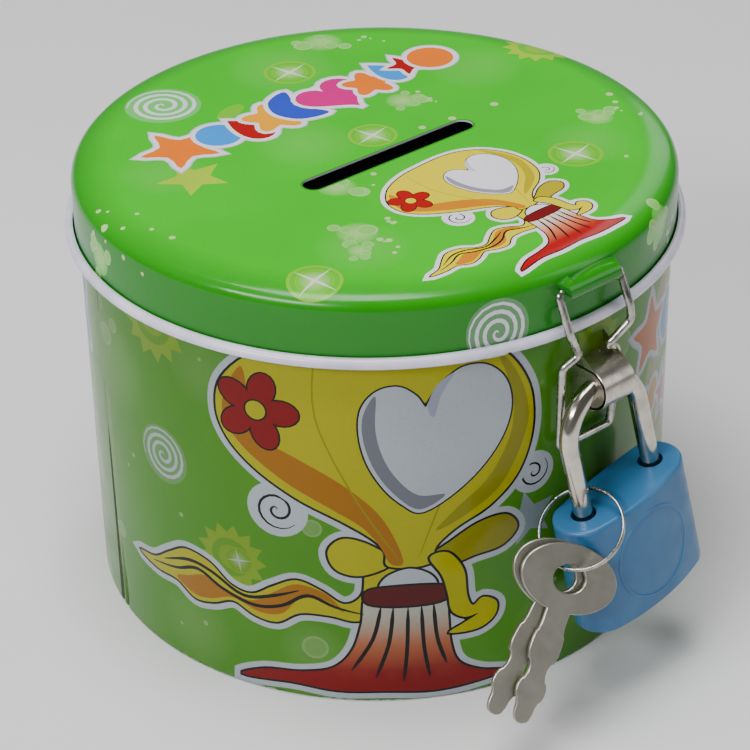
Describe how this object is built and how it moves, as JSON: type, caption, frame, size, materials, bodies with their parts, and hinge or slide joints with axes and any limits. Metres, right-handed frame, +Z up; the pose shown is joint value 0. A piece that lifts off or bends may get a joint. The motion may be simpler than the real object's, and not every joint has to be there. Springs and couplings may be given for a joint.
{
  "type": "tin money box",
  "caption": "Round tin money box with a slotted slip lid, a wire hasp over a staple, and a small padlock with flat keys on a ring.",
  "frame": {"origin": "on the floor under the centre of the can", "axes": "+Z up along the can's axis, -Y towards the hasp and the padlock, +X to the right when facing the hasp"},
  "size_m": [0.1042, 0.1175, 0.078],
  "materials": {
    "printed_tin": "glossy lacquer over a printed picture",
    "bare_tin": "bare tinplate",
    "nickel": "nickel plate",
    "steel_wire": "bright drawn wire",
    "blue_plastic": "smooth moulded plastic",
    "spring_steel": "plain spring steel",
    "key_steel": "tumbled nickel plate"
  },
  "bodies": {
    "can": {"can_wall": "printed_tin", "bottom_plate": "bare_tin", "staple": "nickel"},
    "lid": {"lid": "printed_tin"},
    "bail": {"bail_wire": "steel_wire"},
    "padlock": {"shackle": "nickel", "padlock_case": "blue_plastic", "padlock_base": "blue_plastic", "retaining_pin": "spring_steel", "latch_spring": "spring_steel"},
    "latch": {"latch": "spring_steel"},
    "key_ring": {"key_ring": "steel_wire"},
    "key_1": {"key_1": "key_steel"},
    "key_2": {"key_2": "key_steel"}
  },
  "joints": [
    {"name": "lid_lift", "type": "slide", "parent": "can", "child": "lid", "axis": [0, 0, 1], "range_m": [0, 0.004]},
    {"name": "bail_swing", "type": "hinge", "parent": "lid", "child": "bail", "pos_m": [-0.00165, -0.05107, 0.0737], "axis": [-0.9995, 0.0323, 0], "range_deg": [0, 0.7]},
    {"name": "padlock_swing", "type": "hinge", "parent": "can", "child": "padlock", "pos_m": [0, -0.054, 0.05575], "axis": [-1, 0, 0], "range_deg": [0, 90]},
    {"name": "latch_slide", "type": "slide", "parent": "padlock", "child": "latch", "axis": [-0.9823, -0.0176, -0.1866], "range_m": [0, 0.0011], "stiffness_N_per_m": 400, "springref_m": -0.0005, "deforming": ["latch_spring"]},
    {"name": "ring_swing", "type": "hinge", "parent": "padlock", "child": "key_ring", "pos_m": [-0.00493, -0.0535, 0.03753], "axis": [-0.582, 0.7598, -0.2897], "range_deg": [0, 25]},
    {"name": "key_1_fan", "type": "hinge", "parent": "key_ring", "child": "key_1", "pos_m": [-0.01378, -0.06073, 0.02968], "axis": [-0.311, -0.8735, 0.3746], "range_deg": [-20, 20]},
    {"name": "key_2_fan", "type": "hinge", "parent": "key_ring", "child": "key_2", "pos_m": [-0.01426, -0.05935, 0.02957], "axis": [-0.311, -0.8735, 0.3746], "range_deg": [-20, 15]}
  ]
}
